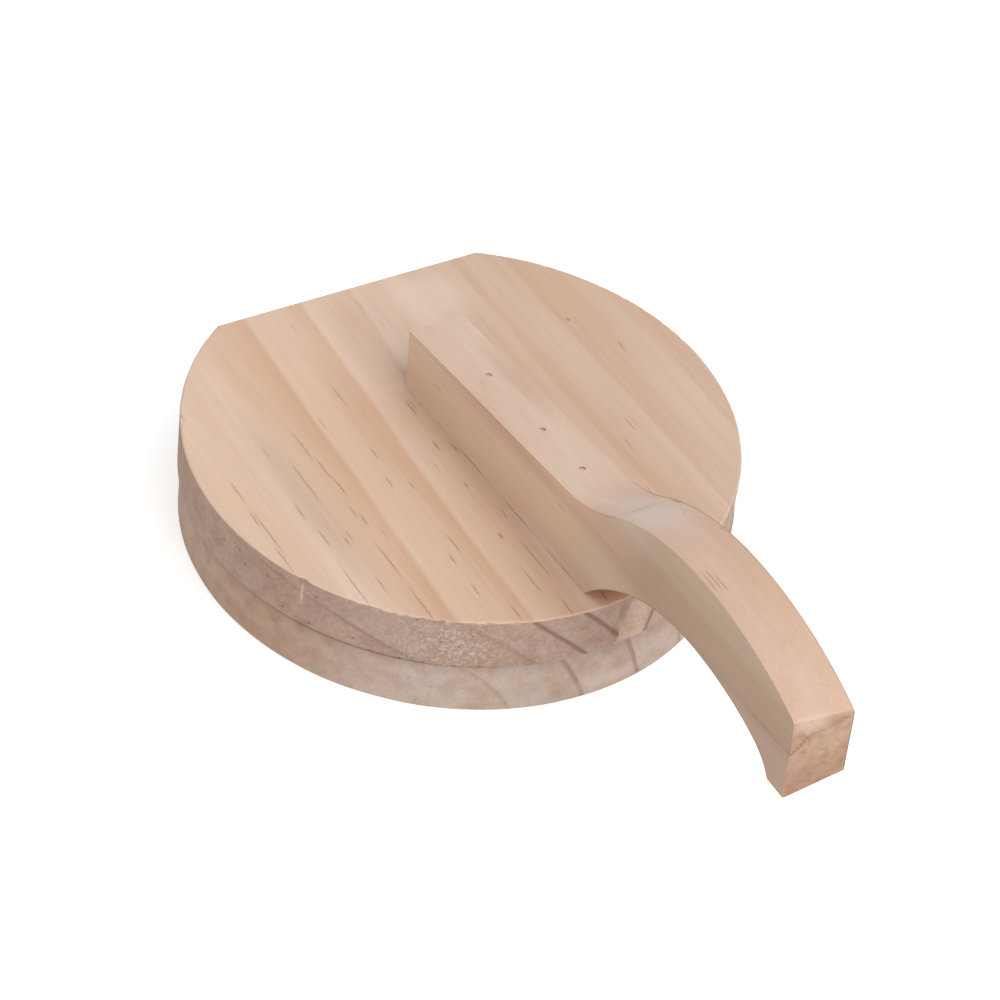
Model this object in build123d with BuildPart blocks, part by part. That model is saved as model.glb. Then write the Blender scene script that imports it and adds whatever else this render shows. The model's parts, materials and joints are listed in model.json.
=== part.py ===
from build123d import *
import os
from math import cos, radians, sin, tan

os.makedirs("parts", exist_ok=True)

# Frame: millimetres, +Z up. The origin is the centre of the round boards, on
# the face that the press stands on. The straight hinge edge is towards +Y and
# the grip reaches out towards -Y.

# Boards
board_radius = 87.5
board_thickness = 18.0
flat_edge_y = 73.5  # from the round's centre to the straight hinge edge
lower_trim = 0.2  # the lower round is this much smaller in radius
lower_shift_x = 0.5  # and was sawn a little off the upper one's middle
lower_shift_y = -0.7
closing_gap = 0.2  # left between the pressing faces by the hinge
rim_edge_round = 0.7
seam_edge_round = 0.3  # on the edges that meet where the boards close

# Handle. Insets are measured back from the boards' rim, outs beyond it, and
# heights up from the upper board.
handle_width = 19.2
handle_side_shift = 3.1  # it sits a little to the +X side of the middle
handle_yaw = 1.3  # and is nailed on slightly turned, in degrees
heel_inset = 50.1  # foot of the heel, from the straight edge
heel_rake = 1.5  # the heel's face leans out by this much at its top
heel_height = 21.5
saddle_inset = 23.6  # where the straight top ends
saddle_height = 28.5
rise_inset = 2.6  # where the hollow turns into the grip's back
rise_height = 35.8
crest_out = 37.8
crest_height = 48.6
brow_height = 33.0
foot_inset = 7.8  # the underside leaves the board here
foot_angle = 52.0  # at this slope, in degrees
palm_out = 45.8
palm_height = 23.8
tip_out = 92.2  # middle of the sawn end
saw_spare = 3.3  # the curves run on by this much and are sawn off
nose_length = 8.0  # the short flat under the tip
nose_height = 8.7
nose_drop = 0.6  # it falls by this much
beak_run = 9.2  # from the flat back to where the underside bends down
beak_height = 16.7
tip_rake = 4.0  # its foot stands further out than its top, in degrees
tip_skew = 6.0  # and its +X side further than its -X side, in degrees
nose_lift = 4.2  # the nose is cut away by this much on the +X side
handle_edge_round = 0.7

# Nails through the handle
first_nail_reach = 5.7  # from the middle of the boards
second_nail_step = 30.7
third_nail_step = 21.3
nail_shank_radius = 0.9
nail_head_radius = 1.2
nail_head_height = 0.9
nail_sink = 0.5  # heads are punched this far below the wood
nail_point = 2.5
nail_cover = 3.4  # wood left under the deepest nail's point

# Butt hinge
hinge_length = 64.0
leaf_margin = 2.6  # from a leaf's far edge to the board's outer face
leaf_thickness = 1.2
leaf_corner_round = 1.0
pin_radius = 1.5
pin_head_radius = 2.2
pin_head_height = 0.8
pin_head_round = 0.5
knuckle_count = 5
knuckle_side_gap = 0.2
knuckle_wood_gap = 0.3  # keeps the turning knuckles off the boards

# Hinge screws
screws_per_leaf = 3
screw_shank_radius = 1.5
screw_length = 14.0
screw_point = 3.5
screw_edge_inset = 6.2  # from a leaf's far edge
screw_end_inset = 9.0  # from a leaf's ends
screw_thread_depth = 0.4
screw_thread_pitch = 1.4
screw_cross_length = 3.2  # the cross for the driver
screw_cross_width = 0.8
screw_cross_depth = 0.7

# Clearance of everything that fits in a hole
fit = 0.05

# Worked out from the sizes above
lower_radius = board_radius - lower_trim
board_top = 2 * board_thickness + closing_gap
upper_floor = board_thickness + closing_gap
pin_z = board_thickness + closing_gap / 2
knuckle_radius = pin_radius + fit + leaf_thickness
pin_y = flat_edge_y + knuckle_wood_gap + knuckle_radius
knuckle_pitch = hinge_length / knuckle_count
knuckle_length = knuckle_pitch - knuckle_side_gap
leaf_height = pin_z - leaf_margin
screw_drop = leaf_height - screw_edge_inset
screw_span = hinge_length - 2 * screw_end_inset
screw_head_radius = screw_shank_radius + leaf_thickness
heel_reach = heel_inset - flat_edge_y
top_slope = (saddle_height - heel_height) / (board_radius - saddle_inset - heel_reach + heel_rake)
brow_out = tip_out + saw_spare
nose_out = tip_out - nose_length
beak_out = nose_out - beak_run
second_nail_reach = first_nail_reach + second_nail_step
nail_reaches = (first_nail_reach, second_nail_reach, second_nail_reach + third_nail_step)


def handle_plane():
    """The handle's side view: x runs out along the grip, y up and z to its -X side."""
    turn = radians(handle_yaw)
    return Plane(
        origin=(handle_side_shift, 0, board_top),
        x_dir=(sin(turn), -cos(turn), 0),
        z_dir=(-cos(turn), -sin(turn), 0),
    )


def nail_head_height_at(reach):
    """How high a nail's head lies over the board, sunk into the sloping top."""
    return heel_height + top_slope * (reach - heel_reach + heel_rake) - nail_sink


def nail_plane(reach):
    """The level plane on a nail's head."""
    spot = handle_plane().from_local_coords(Vector(reach, nail_head_height_at(reach), 0))
    return Plane(origin=spot, x_dir=(1, 0, 0), z_dir=(0, 0, 1))


nail_length = nail_head_height_at(nail_reaches[0]) + board_thickness - nail_cover


def screw_planes(z):
    """One plane per screw on the outside of a leaf, facing away from the boards."""
    outer_y = flat_edge_y + leaf_thickness
    xs = [(i / (screws_per_leaf - 1) - 0.5) * screw_span for i in range(screws_per_leaf)]
    return [Plane(origin=(x, outer_y, z), x_dir=(-1, 0, 0), z_dir=(0, 1, 0)) for x in xs]


def turning_plane(mouth):
    """The plane to draw a turned piece on: y points out of its hole's mouth."""
    return Plane(origin=mouth.origin, x_dir=mouth.x_dir, z_dir=-mouth.y_dir)


def board_outline(radius, centre):
    """A round with the straight hinge edge cut across it."""
    with Locations(centre):
        Circle(radius)
    with Locations((0, flat_edge_y)):
        Rectangle(4 * radius, 2 * radius, align=(Align.CENTER, Align.MIN), mode=Mode.SUBTRACT)


# Lower board
with BuildPart() as lower_board:
    with BuildSketch():
        board_outline(lower_radius, (lower_shift_x, lower_shift_y))
    extrude(amount=board_thickness)
    fillet(lower_board.edges().group_by(Axis.Z)[0], rim_edge_round)
    fillet(lower_board.edges().group_by(Axis.Z)[-1], seam_edge_round)
    with Locations(screw_planes(pin_z - screw_drop)):
        Hole(screw_shank_radius + fit, depth=screw_length + fit)
lower_board.part.label = "lower_board"
export_step(lower_board.part, "parts/lower_board.step")

# Upper board
with BuildPart() as upper_board:
    with BuildSketch(Plane.XY.offset(upper_floor)):
        board_outline(board_radius, (0, 0))
    extrude(amount=board_thickness)
    fillet(upper_board.edges().group_by(Axis.Z)[0], seam_edge_round)
    fillet(upper_board.edges().group_by(Axis.Z)[-1], rim_edge_round)
    with Locations(screw_planes(pin_z + screw_drop)):
        Hole(screw_shank_radius + fit, depth=screw_length + fit)
    with Locations([nail_plane(reach) for reach in nail_reaches]):
        Hole(nail_shank_radius + fit, depth=nail_length + fit)
upper_board.part.label = "upper_board"
export_step(upper_board.part, "parts/upper_board.step")

# Handle: its side view is drawn once and given its width both ways
with BuildPart() as handle:
    with BuildSketch(handle_plane()):
        with BuildLine():
            heel = Line((heel_reach, 0), (heel_reach - heel_rake, heel_height))
            saddle = Line(heel @ 1, (board_radius - saddle_inset, saddle_height))
            rise = TangentArc(saddle @ 1, (board_radius - rise_inset, rise_height), tangent=saddle % 1)
            back = TangentArc(rise @ 1, (board_radius + crest_out, crest_height), tangent=rise % 1)
            brow = TangentArc(back @ 1, (board_radius + brow_out, brow_height), tangent=back % 1)
            foot = (board_radius - foot_inset, 0)
            slope = (cos(radians(foot_angle)), sin(radians(foot_angle)))
            arch = TangentArc(foot, (board_radius + palm_out, palm_height), tangent=slope)
            palm = TangentArc(arch @ 1, (board_radius + beak_out, beak_height), tangent=arch % 1)
            beak = TangentArc(palm @ 1, (board_radius + nose_out, nose_height), tangent=palm % 1)
            nose = Line(beak @ 1, (board_radius + brow_out, nose_height - nose_drop))
            Line(nose @ 1, brow @ 1)
            Line(heel @ 0, foot)
        make_face()
    extrude(amount=handle_width / 2, both=True)

    # the end is sawn off a little out of square
    view = handle_plane()
    tip_middle = Vector(board_radius + tip_out, (brow_height + nose_height) / 2, 0)
    tip_normal = view.x_dir + view.z_dir * tan(radians(tip_skew))
    tip_normal += Vector(0, 0, 1) * tan(radians(tip_rake))
    split(
        bisect_by=Plane(origin=view.from_local_coords(tip_middle), z_dir=tip_normal), keep=Keep.BOTTOM
    )

    # and the nose is pared away towards its +X side
    brow_spot = view.from_local_coords(Vector(board_radius + brow_out, 0, 0))
    nose_low = nose_height - nose_drop
    with BuildSketch(Plane(origin=brow_spot, x_dir=-view.z_dir, z_dir=view.x_dir)):
        with BuildLine():
            Polyline(
                (-handle_width / 2, nose_low),
                (handle_width, nose_low + 1.5 * nose_lift),
                (handle_width, 0),
                (-handle_width / 2, 0),
                close=True,
            )
        make_face()
    extrude(amount=beak_out - brow_out, mode=Mode.SUBTRACT)

    side_faces = handle.faces().filter_by(lambda face: abs(face.normal_at().dot(view.z_dir)) > 0.999)
    outline = side_faces.edges().filter_by(lambda edge: edge.center().Z > board_top + fit)
    fillet(outline, handle_edge_round)

    for reach in nail_reaches:
        with BuildSketch(nail_plane(reach).offset(-nail_head_height)):
            Circle(nail_head_radius + fit)
        extrude(amount=nail_head_height + 2 * nail_sink, mode=Mode.SUBTRACT)
        with BuildSketch(nail_plane(reach)):
            Circle(nail_shank_radius + fit)
        extrude(amount=-nail_length, mode=Mode.SUBTRACT)
handle.part.label = "handle"
export_step(handle.part, "parts/handle.step")

# Nails: flat head, round shank, pointed end
for i, reach in enumerate(nail_reaches):
    mouth = nail_plane(reach)
    with BuildPart() as nail:
        with BuildSketch(turning_plane(mouth)):
            with BuildLine():
                Polyline(
                    (0, 0),
                    (nail_head_radius, 0),
                    (nail_head_radius, -nail_head_height),
                    (nail_shank_radius, -nail_head_height),
                    (nail_shank_radius, nail_point - nail_length),
                    (0, -nail_length),
                    close=True,
                )
            make_face()
        revolve(axis=Axis(mouth.origin, mouth.z_dir))
    nail.part.label = f"handle_nail_{i + 1}"
    export_step(nail.part, f"parts/handle_nail_{i + 1}.step")

# Hinge leaves: a plate on the board's back face, and the knuckles it curls into
plate_start = knuckle_radius + knuckle_wood_gap
for side, way, first_knuckle in (("lower", -1, 0), ("upper", 1, 1)):
    own_knuckles = [
        (i - (knuckle_count - 1) / 2) * knuckle_pitch for i in range(first_knuckle, knuckle_count, 2)
    ]
    with BuildPart() as leaf:
        with BuildSketch(Plane(origin=(0, flat_edge_y, pin_z), x_dir=(-1, 0, 0), z_dir=(0, 1, 0))):
            with Locations((0, way * (plate_start + leaf_height) / 2)):
                Rectangle(hinge_length - knuckle_side_gap, leaf_height - plate_start)
            far_corners = vertices().sort_by(Axis.Z, reverse=way > 0)[:2]
            fillet(far_corners, leaf_corner_round)
            with Locations([(x, way * plate_start / 2) for x in own_knuckles]):
                Rectangle(knuckle_length, plate_start)
        extrude(amount=leaf_thickness)
        for x in own_knuckles:
            with BuildSketch(Plane(origin=(x, pin_y, pin_z), z_dir=(1, 0, 0))):
                Circle(knuckle_radius)
            extrude(amount=knuckle_length / 2, both=True)
        with BuildSketch(Plane(origin=(0, pin_y, pin_z), z_dir=(1, 0, 0))):
            Circle(pin_radius + fit)
        extrude(amount=hinge_length / 2, both=True, mode=Mode.SUBTRACT)
        with Locations(screw_planes(pin_z + way * screw_drop)):
            CounterSinkHole(
                screw_shank_radius + fit, screw_head_radius + fit, depth=leaf_thickness, counter_sink_angle=90
            )
    leaf.part.label = f"hinge_leaf_{side}"
    export_step(leaf.part, f"parts/hinge_leaf_{side}.step")

# Hinge pin, headed over at both ends
barrel_half = (hinge_length - knuckle_side_gap) / 2
with BuildPart() as hinge_pin:
    with BuildSketch(Plane(origin=(0, pin_y, pin_z), z_dir=(1, 0, 0))):
        Circle(pin_radius)
    extrude(amount=barrel_half, both=True)
    for end in (-1, 1):
        with BuildSketch(Plane(origin=(end * barrel_half, pin_y, pin_z), z_dir=(end, 0, 0))):
            Circle(pin_head_radius)
        extrude(amount=pin_head_height)
    fillet(hinge_pin.edges().sort_by(Axis.X)[0], pin_head_round)
    fillet(hinge_pin.edges().sort_by(Axis.X)[-1], pin_head_round)
hinge_pin.part.label = "hinge_pin"
export_step(hinge_pin.part, "parts/hinge_pin.step")

# Hinge screws: flush cone head with a cross, and a thread drawn as rings
thread_start = leaf_thickness + 1.5 * screw_thread_pitch
thread_turns = int((screw_length - screw_point - thread_start) / screw_thread_pitch)
for side, z in (("lower", pin_z - screw_drop), ("upper", pin_z + screw_drop)):
    for i, mouth in enumerate(screw_planes(z)):
        with BuildPart() as screw:
            with BuildSketch(turning_plane(mouth)):
                with BuildLine():
                    thread = []
                    for turn in range(thread_turns):
                        top = -thread_start - turn * screw_thread_pitch
                        thread.append((screw_shank_radius, top))
                        thread.append((screw_shank_radius - screw_thread_depth, top - screw_thread_pitch / 2))
                    Polyline(
                        (0, 0),
                        (screw_head_radius, 0),
                        (screw_shank_radius, -leaf_thickness),
                        *thread,
                        (screw_shank_radius, screw_point - screw_length),
                        (0, -screw_length),
                        close=True,
                    )
                make_face()
            revolve(axis=Axis(mouth.origin, mouth.z_dir))
            with BuildSketch(mouth):
                Rectangle(screw_cross_length, screw_cross_width)
                Rectangle(screw_cross_width, screw_cross_length)
            extrude(amount=-screw_cross_depth, mode=Mode.SUBTRACT)
        screw.part.label = f"hinge_screw_{side}_{i + 1}"
        export_step(screw.part, f"parts/hinge_screw_{side}_{i + 1}.step")
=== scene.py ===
import json
from math import atan2, cos, degrees, exp, radians, sin, tan

import bmesh
import bpy
from bmesh.types import BMEdge, BMFace, BMVert
from mathutils import Matrix, Vector, noise

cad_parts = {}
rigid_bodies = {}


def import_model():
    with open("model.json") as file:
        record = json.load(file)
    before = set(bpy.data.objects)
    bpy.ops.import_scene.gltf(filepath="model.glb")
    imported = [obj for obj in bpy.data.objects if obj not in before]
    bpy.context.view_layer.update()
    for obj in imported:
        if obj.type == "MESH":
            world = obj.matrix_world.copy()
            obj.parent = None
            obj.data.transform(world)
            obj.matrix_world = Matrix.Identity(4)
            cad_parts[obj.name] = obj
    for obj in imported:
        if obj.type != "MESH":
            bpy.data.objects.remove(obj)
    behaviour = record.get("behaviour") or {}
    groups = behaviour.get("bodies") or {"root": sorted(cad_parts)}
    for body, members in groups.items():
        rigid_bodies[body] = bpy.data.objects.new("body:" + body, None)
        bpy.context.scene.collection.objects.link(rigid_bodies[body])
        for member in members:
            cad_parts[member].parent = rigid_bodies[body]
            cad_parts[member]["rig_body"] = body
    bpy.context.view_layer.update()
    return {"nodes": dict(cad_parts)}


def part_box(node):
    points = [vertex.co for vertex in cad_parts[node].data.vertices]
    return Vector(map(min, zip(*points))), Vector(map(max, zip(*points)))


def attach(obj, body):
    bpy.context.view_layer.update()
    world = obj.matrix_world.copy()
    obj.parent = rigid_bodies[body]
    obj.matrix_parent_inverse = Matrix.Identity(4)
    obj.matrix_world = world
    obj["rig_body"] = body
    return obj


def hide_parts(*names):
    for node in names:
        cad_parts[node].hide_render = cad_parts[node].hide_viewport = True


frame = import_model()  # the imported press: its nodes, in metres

metresPerMm = 0.001
nails = [f"handle_nail_{i + 1}" for i in range(3)]


# Helpers for the meshes, which are modelled in millimetres

def boxOf(node):  # a CAD node's lowest and highest corners, in millimetres
    return [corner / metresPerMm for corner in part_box(node)]


def only(kind, parts):
    return [part for part in parts if isinstance(part, kind)]


def sliceAt(bm, spot, normal, faces=None, **keep):  # all of the mesh, or some faces and their edges
    if faces is None:
        parts = bm.verts[:] + bm.edges[:] + bm.faces[:]
    else:
        parts = list({part for f in faces for part in [*f.verts, *f.edges, f]})
    return bmesh.ops.bisect_plane(bm, geom=parts, plane_co=spot, plane_no=normal, **keep)


def roundOver(bm, edges, size, steps):
    bmesh.ops.bevel(
        bm, geom=edges, offset=size, offset_type="OFFSET", segments=steps,
        profile=0.5, affect="EDGES", clamp_overlap=True, material=-1,
    )


def edgeRing(verts):  # the edges among a ring of vertices
    ring = set(verts)
    return list({e for v in verts for e in v.link_edges if e.other_vert(v) in ring})


def cutMouths(bm, face, mouths, radius, steps):  # round openings in a flat face
    outline = face.edges[:]
    facing = face.normal.copy()
    inFace = face.verts[0].co.copy()
    bmesh.ops.delete(bm, geom=[face], context="FACES_ONLY")
    rings = []
    for mouth in mouths:
        made = bmesh.ops.create_circle(bm, cap_ends=False, radius=radius, segments=steps, matrix=mouth)
        axis = mouth.to_3x3() @ Vector((0, 0, 1))
        for vert in made["verts"]:  # slid along the bore onto the face
            vert.co += axis * ((inFace - vert.co).dot(facing) / axis.dot(facing))
        rings.append(made["verts"])
        outline += edgeRing(made["verts"])
    bmesh.ops.triangle_fill(bm, use_beauty=True, edges=outline, normal=facing)
    return rings


def sinkRing(bm, ring, move):  # walls from a ring of vertices, and the ring at their far end
    verts = only(BMVert, bmesh.ops.extrude_edge_only(bm, edges=edgeRing(ring))["geom"])
    bmesh.ops.translate(bm, verts=verts, vec=move)
    return verts


def finishPiece(bm, name, node, material, sharpAngle):
    body = frame["nodes"][node]["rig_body"]
    bmesh.ops.dissolve_degenerate(bm, edges=bm.edges, dist=0.004)
    bm.normal_update()
    planes = [f.normal.copy() for f in bm.faces if f.calc_area() > 30]
    level = [any(f.normal.dot(plane) > 0.99999 for plane in planes) for f in bm.faces]
    bmesh.ops.scale(bm, vec=[metresPerMm] * 3, verts=bm.verts)
    bmesh.ops.recalc_face_normals(bm, faces=bm.faces)
    mesh = bpy.data.meshes.new(name)
    bm.to_mesh(mesh)
    bm.free()
    mesh.shade_smooth()
    mesh.set_sharp_from_angle(angle=radians(sharpAngle))
    for face, isLevel in zip(mesh.polygons, level):  # the rounded edges don't bend the flat faces' shading
        face.use_smooth = not isLevel
    mesh.materials.append(material)
    piece = bpy.data.objects.new(name, mesh)
    bpy.context.scene.collection.objects.link(piece)
    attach(piece, body)
    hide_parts(node)
    print(f"{name}: {len(mesh.vertices)} vertices")
    return piece


# Helpers for the materials

def linearColour(hexColour):  # sRGB hex to the linear colour that the shaders take
    parts = [int(hexColour[i:i + 2], 16) / 255 for i in (1, 3, 5)]
    return [p / 12.92 if p <= 0.04045 else ((p + 0.055) / 1.055) ** 2.4 for p in parts] + [1]


def addNode(tree, kind, inputs=None, stops=None, **settings):
    node = tree.nodes.new("ShaderNode" + kind)
    for name, value in settings.items():
        setattr(node, name, value)
    for name, value in (inputs or {}).items():
        if isinstance(value, bpy.types.NodeSocket):
            tree.links.new(value, node.inputs[name])
        else:
            node.inputs[name].default_value = value
    if stops:
        marks = node.color_ramp.elements
        while len(marks) < len(stops):
            marks.new(1)
        for mark, (place, colour) in zip(marks, stops):
            mark.position = place
            mark.color = colour
    return node


def startMaterial(name):
    material = bpy.data.materials.new(name)
    material.use_nodes = True
    material.node_tree.nodes.clear()
    return material, material.node_tree


def pieceCoordinates(tree):  # a piece's coordinates, and its place in millimetres
    own = addNode(tree, "TexCoord")
    toMm = 1 / metresPerMm
    inMm = addNode(tree, "VectorMath", {0: own.outputs["Object"], "Scale": toMm}, operation="SCALE")
    return own, inMm.outputs[0]


def finishMaterial(tree, **sockets):
    inputs = {name.replace("_", " "): value for name, value in sockets.items()}
    shader = addNode(tree, "BsdfPrincipled", inputs)
    addNode(tree, "OutputMaterial", {"Surface": shader.outputs[0]})


# Pine. The pattern fills the wood: a ring is a cylinder round the pith, so its bands run along the planed
# faces, turn into lines on the end grain and into contours on the curved handle.

pineGrain = {
    "driftAcross": 26.0,  # mm over which the rings wander sideways
    "driftAlong": 120.0,
    "driftSize": 1.8,  # mm that they wander
    "ringEdge": 0.9,  # mm from the dark end of a ring to the next one's pale start
    "lineWidth": 1.3,  # mm of late wood that end grain shows as a line
    "fibreAcross": 0.7,  # real fibres are 0.03 mm wide, so these are bundles that still show
    "fibreAlong": 26.0,
    "toneAcross": 15.0,  # slow changes of tone
    "toneAlong": 90.0,
    "bandAcross": 2.4,  # fainter bands within a ring
    "bandAlong": 70.0,
    "bandShade": (0.965, 1.02),
    "fibreShade": (0.965, 1.03),
    "canalSpacing": 3.6,  # mm between resin canals
    "canalPitch": 34.0,
    "canalWidth": 0.22,
    "canalLength": 3.4,
    "ringOnSawn": 0.35,  # how much of a ring's darkness a sawn face keeps
    "lineFull": 2 / 3,  # lines are at full strength up to 48 degrees from square end grain
    "stainNoise": (0.48, 0.7),  # the noise that starts a stain, and that makes it full
    "markShake": 0.35,  # mm that the edges of marks waver
    "markFade": (1.2, 0.5),  # where a mark begins and where it is full, in its own radii
    "patchFade": (1.1, 0.2),
    "planedRough": 0.62,
    "sawnRough": 0.85,
    "planedRelief": 0.12,  # a planed face's share of the relief
}


def ringMarks(tree, grain, stave):
    # Red says how dark the wood is at each point, green where end grain shows a ring's last growth as a line.
    # A ring darkens slowly outwards and ends abruptly, where growth stopped for the winter.
    inner, outer = stave["reach"]
    x, z = stave["pith"]
    centred = addNode(tree, "Mapping", {
        "Vector": grain, "Location": (x, 0, z), "Rotation": (0, 0, radians(stave["yaw"])),
    }, vector_type="TEXTURE")
    flat = addNode(tree, "VectorMath", {0: centred.outputs[0], 1: (1, 0, 1)}, operation="MULTIPLY")
    reach = addNode(tree, "VectorMath", {0: flat.outputs[0]}, operation="LENGTH").outputs["Value"]
    share = addNode(tree, "MapRange", {"Value": reach, "From Min": inner, "From Max": outer})
    stops = [(0, [0.2, 0, 0, 1])]
    start = inner
    for radius, dark, line in stave["rings"]:
        for spot, darkness, lined in (
            (start + 0.48 * (radius - start), 0.4, 0),
            (radius - pineGrain["lineWidth"], 0.9, 0),
            (radius, 1, line),
            (radius + pineGrain["ringEdge"], 0, 0),
        ):
            stops.append(((spot - inner) / (outer - inner), [dark * darkness, lined, 0, 1]))
        start = radius
    stops.append((1, [0.5, 0, 0, 1]))
    return addNode(tree, "ValToRGB", {"Fac": share.outputs[0]}, stops).outputs["Color"]


def nearMarks(tree, place, marks):
    # The least distance to a list of marks, each an ellipsoid of radius 1 in its own measure
    nearest = None
    for x, y1, y2, z, across, up in marks:
        size = Vector((across, abs(y2 - y1) / 2 + 0.4, up))
        centre = Vector((x, (y1 + y2) / 2, z))
        scaled = addNode(tree, "VectorMath", {
            0: place, 1: [1 / s for s in size], 2: [-c / s for c, s in zip(centre, size)],
        }, operation="MULTIPLY_ADD")
        length = addNode(tree, "VectorMath", {0: scaled.outputs[0]}, operation="LENGTH").outputs["Value"]
        if nearest is not None:
            length = addNode(tree, "Math", {0: nearest, 1: length}, operation="MINIMUM").outputs[0]
        nearest = length
    return nearest


def pineMaterial(name, wood):
    material, tree = startMaterial(name)
    g = pineGrain
    own, grain = pieceCoordinates(tree)

    def stretchedNoise(across, along, detail, shift=0.0):
        fitted = addNode(tree, "Mapping", {
            "Vector": grain, "Location": (shift, shift, shift), "Scale": (1 / across, 1 / along, 1 / across),
        })
        return addNode(tree, "TexNoise", {
            "Vector": fitted.outputs[0], "Scale": 1, "Detail": detail, "Roughness": 0.55,
        })

    def paint(colour, source, start, end, most, tint, kind="MIX", **settings):
        # lays a tint over a colour, from none where the source has its start value to most at its end value
        share = addNode(tree, "MapRange", {
            "Value": source, "From Min": start, "From Max": end, "To Max": most,
        }, **settings)
        tint = linearColour(tint) if isinstance(tint, str) else tint
        return addNode(tree, "Mix", {
            0: share.outputs[0], 6: colour, 7: tint,
        }, data_type="RGBA", blend_type=kind).outputs[2]

    def shade(colour, source, darkest, lightest):
        amount = addNode(tree, "MapRange", {
            "Value": source, "From Min": 0.3, "From Max": 0.7, "To Min": darkest, "To Max": lightest,
        })
        shaded = addNode(tree, "VectorMath", {0: colour, "Scale": amount.outputs[0]}, operation="SCALE")
        return shaded.outputs[0]

    # rings wander a little
    drift = stretchedNoise(g["driftAcross"], g["driftAlong"], 2)
    wander = addNode(tree, "MapRange", {
        "Vector": drift.outputs["Color"],
        9: (-g["driftSize"], 0, -g["driftSize"]),
        10: (g["driftSize"], 0, g["driftSize"]),
    }, data_type="FLOAT_VECTOR")
    bent = addNode(tree, "VectorMath", {0: grain, 1: wander.outputs["Vector"]}, operation="ADD").outputs[0]
    rings = ringMarks(tree, bent, wood["staves"][0])
    spot = addNode(tree, "SeparateXYZ", {0: grain}).outputs
    axes = {"X": spot["X"], "Z": spot["Z"]}
    if wood["seam"]:
        axes["seam"] = nearMarks(tree, grain, [wood["seam"]])
    if len(wood["staves"]) > 1:  # a second stave, its glued edge leaning a little
        axes["glue"] = addNode(tree, "VectorMath", {
            0: grain, 1: (1, 0, -wood["glueLean"]),
        }, operation="DOT_PRODUCT").outputs["Value"]
        past = addNode(tree, "Math", {
            0: axes["glue"], 1: wood["glueLine"],
        }, operation="GREATER_THAN").outputs[0]
        second = ringMarks(tree, bent, wood["staves"][1])
        rings = addNode(tree, "Mix", {0: past, 6: rings, 7: second}, data_type="RGBA").outputs[2]
    parted = addNode(tree, "SeparateColor", {0: rings})
    dark, line = parted.outputs[0], parted.outputs[1]

    # how squarely the surface faces along the grain, sideways and up, and where it is sawn across the wood
    facing = addNode(tree, "SeparateXYZ", {0: own.outputs["Normal"]})
    square = {}
    for axis in "XYZ":
        square[axis] = addNode(tree, "Math", {0: facing.outputs[axis]}, operation="ABSOLUTE").outputs[0]
    axis, start, end = ("Z", 0.7, 0.35) if wood["roundSawn"] else ("Y", 0.72, 0.93)
    sawn = addNode(tree, "MapRange", {"Value": square[axis], "From Min": start, "From Max": end}).outputs[0]
    if wood["greyEdge"]:  # the saw also greyed the very edge of the flat faces
        flat = addNode(tree, "VectorMath", {0: grain, 1: (1, 1, 0)}, operation="MULTIPLY")
        centred = addNode(tree, "VectorMath", {0: flat.outputs[0], 1: wood["middle"]}, operation="SUBTRACT")
        away = addNode(tree, "VectorMath", {0: centred.outputs[0]}, operation="LENGTH").outputs["Value"]
        atEdge = addNode(tree, "MapRange", {
            "Value": away, "From Min": wood["greyEdge"], "From Max": wood["greyEdge"] + 0.3,
        }).outputs[0]
        sawn = addNode(tree, "Math", {0: sawn, 1: atEdge}, operation="MAXIMUM").outputs[0]

    def wash(colour, tints):  # tints that come in along an axis, from one place to another
        for axis, start, end, tint in tints:
            colour = paint(colour, axes[axis], start, end, 1, tint, "MULTIPLY")
        return colour

    shown = addNode(tree, "MapRange", {"Value": sawn, "To Min": 1, "To Max": g["ringOnSawn"]}).outputs[0]
    darkShown = addNode(tree, "Math", {0: dark, 1: shown}, operation="MULTIPLY").outputs[0]
    colour = paint(linearColour(wood["pale"]), darkShown, 0, 1, 1, wood["dark"])
    colour = wash(colour, wood["washes"])

    if wood["sides"]:  # the grip is darker, and the sides get painted shade: paler at the back from painted light off the board, darker at the grip
        colour = paint(colour, spot["Y"], *wood["held"], 1, wood["gripTint"], "MULTIPLY")
        sides = paint(linearColour(wood["sides"][0]), spot["Y"], *wood["held"], 1, wood["sides"][1])
        lowest, highest = wood["sideBands"][0][0], wood["sideBands"][-1][0]
        height = addNode(tree, "MapRange", {"Value": spot["Z"], "From Min": lowest, "From Max": highest})
        bands = addNode(tree, "ValToRGB", {"Fac": height.outputs[0]}, [
            ((z - lowest) / (highest - lowest), linearColour(tint)) for z, tint in wood["sideBands"]
        ])
        paintedSideShade = addNode(tree, "VectorMath", {0: sides, 1: bands.outputs[0]}, operation="MULTIPLY")
        # painted shade: faces turned sideways take the side colour
        colour = paint(colour, square["X"], 0.8, 0.97, 1, paintedSideShade.outputs[0])
        # painted shade: faces that look down are darker and warmer, and throw warmer light under the arch
        colour = paint(colour, facing.outputs["Z"], -0.15, -0.5, 1, wood["paintedUnderShade"], "MULTIPLY")

    # slow changes of tone to straw, bands a few mm wide, and fibres
    tone = stretchedNoise(g["toneAcross"], g["toneAlong"], 1, 7.0).outputs[0]
    colour = paint(colour, tone, 0.35, 0.65, wood["toneShare"], wood["tone"], "MULTIPLY")
    band = stretchedNoise(g["bandAcross"], g["bandAlong"], 2, 11.0).outputs[0]
    colour = shade(colour, band, *g["bandShade"])
    fibre = stretchedNoise(g["fibreAcross"], g["fibreAlong"], 3).outputs[0]
    colour = shade(colour, fibre, *g["fibreShade"])

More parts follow.
